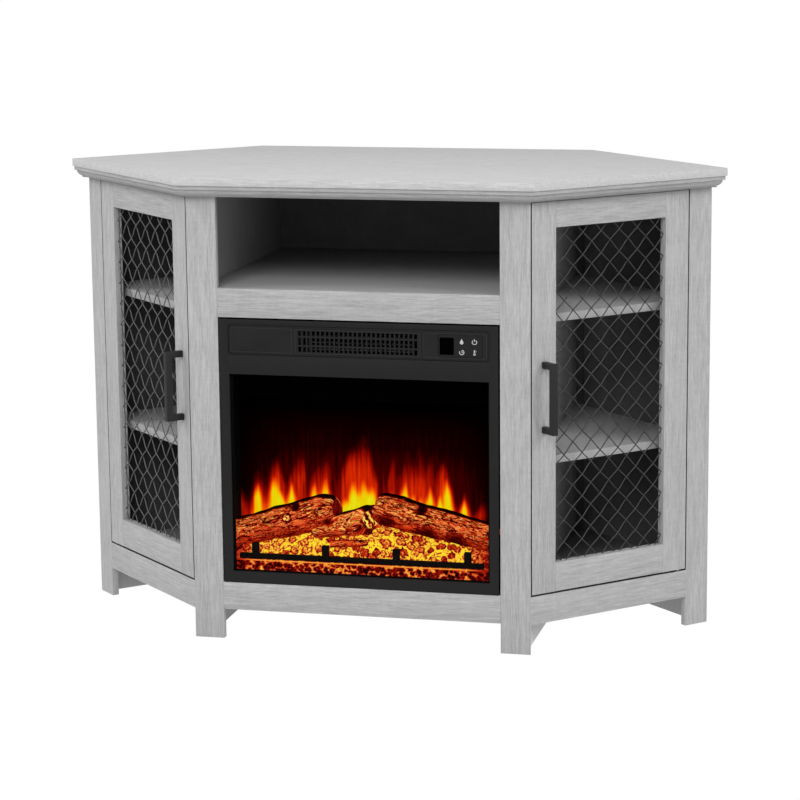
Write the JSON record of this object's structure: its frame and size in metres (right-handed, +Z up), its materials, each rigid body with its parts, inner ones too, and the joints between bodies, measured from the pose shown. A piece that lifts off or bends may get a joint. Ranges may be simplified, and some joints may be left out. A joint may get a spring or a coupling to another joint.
{
  "type": "corner fireplace tv stand",
  "caption": "Corner media cabinet with 45 degree mesh doors, an open media bay and an electric fireplace insert with a log fire, warm-air grille and touch panel.",
  "frame": {"origin": "on the floor, at the middle of the overall plan", "axes": "+X to the viewer's right along the front face, +Y from the front to the back, +Z up; the two wall faces of the corner unit lie at 45 degrees behind"},
  "size_m": [1.1742, 0.5566, 0.8],
  "materials": {
    "top_laminate": "light grey embossed oak-grain laminate, matt",
    "woodgrain_laminate": "light grey embossed oak-grain laminate, matt",
    "inner_laminate": "light grey smooth laminate, matt",
    "hardboard": "dark grey printed hardboard, matt",
    "zinc_steel": "zinc-plated steel",
    "catch_plastic": "black moulded plastic with a magnet",
    "mesh_wire": "dark bronze-black lacquered steel wire",
    "handle_black": "matt black powder coat",
    "nylon": "natural white nylon",
    "trim_black": "black moulded plastic, fine satin",
    "touch_gloss": "gloss black with plain light grey symbols",
    "tinted_glass": "clear tempered glass with a faint grey tint",
    "body_sheet": "black stoved sheet steel",
    "inlet_plastic": "black moulded plastic",
    "log_resin": "moulded translucent resin, painted as charred bark",
    "ember_resin": "moulded translucent resin, painted as glowing coals",
    "grate_black": "matt black paint",
    "screen_acrylic": "smoked acrylic flame screen",
    "vane_aluminium": "bright aluminium",
    "motor_steel": "plain steel can",
    "circuit_board": "green circuit board",
    "galvanised_sheet": "galvanised sheet steel"
  },
  "bodies": {
    "cabinet": {"top_panel": "top_laminate", "front_cornice": "woodgrain_laminate", "left_cornice": "woodgrain_laminate", "right_cornice": "woodgrain_laminate", "rear_cornice": "woodgrain_laminate", "left_front_post": "woodgrain_laminate", "right_front_post": "woodgrain_laminate", "outer_posts": "woodgrain_laminate", "left_divider": "inner_laminate", "right_divider": "inner_laminate", "left_wall_panel": "woodgrain_laminate", "right_wall_panel": "woodgrain_laminate", "back_panel": "hardboard", "centre_bottom": "inner_laminate", "side_bottoms": "inner_laminate", "media_shelf": "inner_laminate", "middle_rail": "woodgrain_laminate", "front_apron": "woodgrain_laminate", "side_aprons": "woodgrain_laminate", "left_shelves": "inner_laminate", "right_shelves": "inner_laminate", "shelf_pins": "zinc_steel", "cam_locks": "zinc_steel", "hinge_pins": "zinc_steel", "door_catches": "catch_plastic", "insert_trim": "trim_black", "control_fascia": "trim_black", "vent_grille": "trim_black", "touch_panel": "touch_gloss", "glass_panel": "tinted_glass", "insert_housing": "body_sheet", "rear_cover": "body_sheet", "power_inlet": "inlet_plastic", "insert_brackets": "zinc_steel", "log_set": "log_resin", "ember_bed": "ember_resin", "fire_grate": "grate_black", "flame_screen": "screen_acrylic", "rotor_motor": "motor_steel", "led_board": "circuit_board", "blower_casing": "galvanised_sheet", "blower_motor": "motor_steel", "heating_element": "galvanised_sheet", "control_board": "circuit_board"},
    "left_door": {"left_door_stiles": "woodgrain_laminate", "left_door_rails": "woodgrain_laminate", "left_door_mesh": "mesh_wire", "left_mesh_strips": "woodgrain_laminate", "left_handle": "handle_black", "left_pivot_bushes": "nylon", "left_door_fixings": "zinc_steel"},
    "right_door": {"right_door_stiles": "woodgrain_laminate", "right_door_rails": "woodgrain_laminate", "right_door_mesh": "mesh_wire", "right_mesh_strips": "woodgrain_laminate", "right_handle": "handle_black", "right_pivot_bushes": "nylon", "right_door_fixings": "zinc_steel"},
    "rotor": {"flame_rotor": "vane_aluminium"},
    "fan": {"blower_wheel": "vane_aluminium"}
  },
  "joints": [
    {"name": "left_door_hinge", "type": "hinge", "parent": "cabinet", "child": "left_door", "pos_m": [-0.5113, -0.02631, 0.434], "axis": [0, 0, -1], "range_deg": [0, 100]},
    {"name": "right_door_hinge", "type": "hinge", "parent": "cabinet", "child": "right_door", "pos_m": [0.5113, -0.02631, 0.434], "axis": [0, 0, 1], "range_deg": [0, 100]},
    {"name": "flame_rotor_spin", "type": "hinge", "parent": "cabinet", "child": "rotor", "pos_m": [0, -0.14631, 0.1696], "axis": [1, 0, 0], "continuous": true},
    {"name": "blower_spin", "type": "hinge", "parent": "cabinet", "child": "fan", "pos_m": [0, -0.15731, 0.51795], "axis": [1, 0, 0], "continuous": true}
  ]
}
